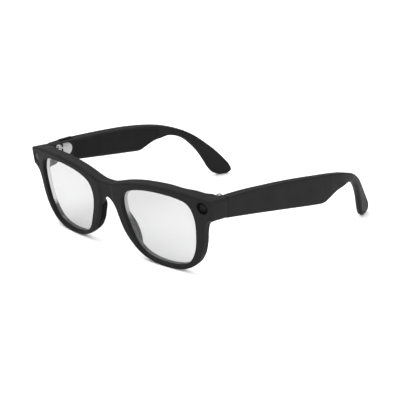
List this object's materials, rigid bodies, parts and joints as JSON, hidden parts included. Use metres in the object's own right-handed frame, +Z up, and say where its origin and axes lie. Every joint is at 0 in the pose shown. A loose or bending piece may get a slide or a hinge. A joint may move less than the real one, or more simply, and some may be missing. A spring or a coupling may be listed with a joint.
{
  "type": "smart glasses",
  "caption": "Thick-framed smart glasses with clear lenses, a camera and a capture light in the end pieces, and hinged arms that hold speakers, a battery and boards.",
  "frame": {"origin": "middle of the open glasses' footprint, on the surface that the rims and the arm tips stand on", "axes": "+X to the wearer's left, +Y from the front towards the arm tips, +Z up"},
  "size_m": [0.1512, 0.1552, 0.0458],
  "materials": {
    "frame_shell": "fine matt black, moulded",
    "temple_shell": "fine matt black, moulded",
    "inner_shell": "matt black",
    "lens": "clear, polished",
    "nose_pad": "satin black",
    "hinge_metal": "satin nickel",
    "steel": "plain",
    "grille_metal": "dark, fine",
    "camera_glass": "polished black",
    "light_window": "smoked, satin",
    "contact_gold": "gold plated",
    "circuit_board": "solder mask",
    "flex_film": "polyimide film",
    "battery_wrap": "foil pouch",
    "button": "satin black",
    "shield_metal": "stamped",
    "module_plastic": "moulded"
  },
  "bodies": {
    "front": {"camera_bezel_ring": "camera_glass", "camera_board": "circuit_board", "camera_module": "module_plastic", "camera_window": "camera_glass", "capture_light_board": "circuit_board", "capture_light_window": "light_window", "charging_contact_1": "contact_gold", "charging_contact_2": "contact_gold", "front_flex_cable": "flex_film", "front_frame": "frame_shell", "left_hinge_front_leaf": "hinge_metal", "left_hinge_pin": "steel", "left_lens": "lens", "left_nose_pad": "nose_pad", "light_sensor": "camera_glass", "rear_brow_cover": "inner_shell", "right_hinge_front_leaf": "hinge_metal", "right_hinge_pin": "steel", "right_lens": "lens", "right_nose_pad": "nose_pad"},
    "left_temple": {"battery": "battery_wrap", "battery_protection_board": "circuit_board", "left_hinge_temple_leaf": "hinge_metal", "left_microphone": "shield_metal", "left_speaker": "module_plastic", "left_speaker_grille": "grille_metal", "left_temple_flex_cable": "flex_film", "left_temple_inner_cover": "inner_shell", "left_temple_shell": "temple_shell", "left_tip_core": "steel", "power_switch_base": "shield_metal"},
    "right_temple": {"button_switch": "shield_metal", "main_board": "circuit_board", "right_hinge_temple_leaf": "hinge_metal", "right_microphone": "shield_metal", "right_speaker": "module_plastic", "right_speaker_grille": "grille_metal", "right_temple_flex_cable": "flex_film", "right_temple_inner_cover": "inner_shell", "right_temple_shell": "temple_shell", "right_tip_core": "steel", "touch_sensor": "circuit_board", "wireless_module": "shield_metal"},
    "capture_button": {"capture_button": "button"},
    "power_switch": {"power_switch": "button"}
  },
  "joints": [
    {"name": "left_temple_fold", "type": "hinge", "parent": "front", "child": "left_temple", "pos_m": [0.0632, -0.0576, 0.03855], "axis": [0, 0, 1], "range_deg": [0, 88]},
    {"name": "right_temple_fold", "type": "hinge", "parent": "front", "child": "right_temple", "pos_m": [-0.0632, -0.0576, 0.03855], "axis": [0, 0, -1], "range_deg": [0, 73]},
    {"name": "capture_button_press", "type": "slide", "parent": "right_temple", "child": "capture_button", "axis": [0, 0, -1], "range_m": [0, 0.0004], "stiffness_N_per_m": 1500},
    {"name": "power_switch_slide", "type": "slide", "parent": "left_temple", "child": "power_switch", "axis": [0.0599, 0.9982, 0], "range_m": [0, 0.002]}
  ]
}
